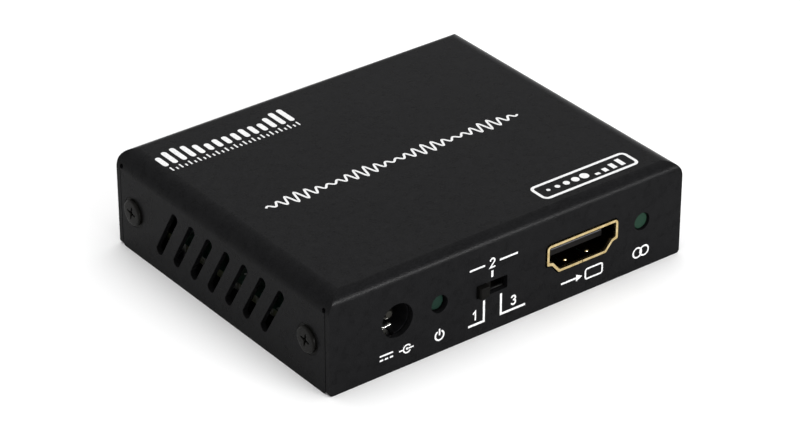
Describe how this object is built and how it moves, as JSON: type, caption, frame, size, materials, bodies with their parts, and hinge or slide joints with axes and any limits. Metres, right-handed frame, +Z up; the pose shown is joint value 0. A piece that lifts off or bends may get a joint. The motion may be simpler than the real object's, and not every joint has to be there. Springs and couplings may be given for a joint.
{
  "type": "hdmi audio extractor",
  "caption": "Small sheet-metal signal box that splits sound from a video link, with sockets, lamps, a mode slide switch and an optical port with a sprung shutter.",
  "frame": {"origin": "centre of the underside", "axes": "+X right along the front panel as seen from the front, -Y out of the front panel with the power socket and mode switch, +Y out of the rear panel, +Z up"},
  "size_m": [0.0726, 0.0614, 0.0179],
  "materials": {
    "cover_paint": "fine-texture black powder coat",
    "base_paint": "black powder coat",
    "screw_black": "black zinc",
    "zinc": "bright zinc",
    "board_green": "solder mask over glass laminate",
    "jack_plastic": "moulded nylon",
    "nickel": "bright nickel",
    "lamp_green": "tinted epoxy, unlit",
    "tinned_wire": "tinned",
    "switch_steel": "nickel plated",
    "phenolic": "phenolic board",
    "knob_plastic": "moulded acetal",
    "spring_bronze": "phosphor bronze",
    "gold_plate": "bright gold plating",
    "shutter_plastic": "moulded nylon",
    "emitter_red": "clear red resin",
    "chip_epoxy": "moulding compound",
    "pad_grey": "silicone pad",
    "sink_aluminium": "sawn extrusion",
    "capacitor_can": "drawn can",
    "ferrite": "ferrite body",
    "part_ceramic": "chip components"
  },
  "bodies": {
    "case": {"top_cover": "cover_paint", "base_plate": "base_paint", "side_screws": "screw_black", "board_standoffs": "zinc", "circuit_board": "board_green", "board_screws": "zinc", "dc_jack_body": "jack_plastic", "dc_jack_pin": "nickel", "dc_jack_spring": "nickel", "power_led": "lamp_green", "link_led": "lamp_green", "lamp_leads": "tinned_wire", "switch_frame": "switch_steel", "switch_base": "phenolic", "switch_terminals": "tinned_wire", "hdmi_in_shell": "gold_plate", "hdmi_in_tongue": "jack_plastic", "hdmi_in_contacts": "gold_plate", "hdmi_out_shell": "gold_plate", "hdmi_out_tongue": "jack_plastic", "hdmi_out_contacts": "gold_plate", "optical_housing": "jack_plastic", "shutter_pin": "zinc", "optical_emitter": "emitter_red", "optical_leads": "tinned_wire", "audio_jack_body": "jack_plastic", "audio_jack_ferrule": "nickel", "audio_jack_contacts": "spring_bronze", "main_chip": "chip_epoxy", "thermal_pad": "pad_grey", "heat_sink": "sink_aluminium", "audio_chip": "chip_epoxy", "control_chip": "chip_epoxy", "power_regulator": "chip_epoxy", "power_inductor": "ferrite", "crystal_can": "zinc", "filter_capacitors": "capacitor_can", "chip_parts": "part_ceramic"},
    "mode_knob": {"switch_knob": "knob_plastic", "switch_wiper": "spring_bronze"},
    "dust_shutter": {"optical_shutter": "shutter_plastic", "shutter_spring": "zinc"}
  },
  "joints": [
    {"name": "mode_slide", "type": "slide", "parent": "case", "child": "mode_knob", "axis": [1, 0, 0], "range_m": [0, 0.004]},
    {"name": "shutter_hinge", "type": "hinge", "parent": "case", "child": "dust_shutter", "pos_m": [0.0205, 0.0283, 0.0136], "axis": [-1, 0, 0], "range_deg": [0, 90], "stiffness_Nm_per_rad": 0.00002, "springref_deg": -22.92}
  ]
}
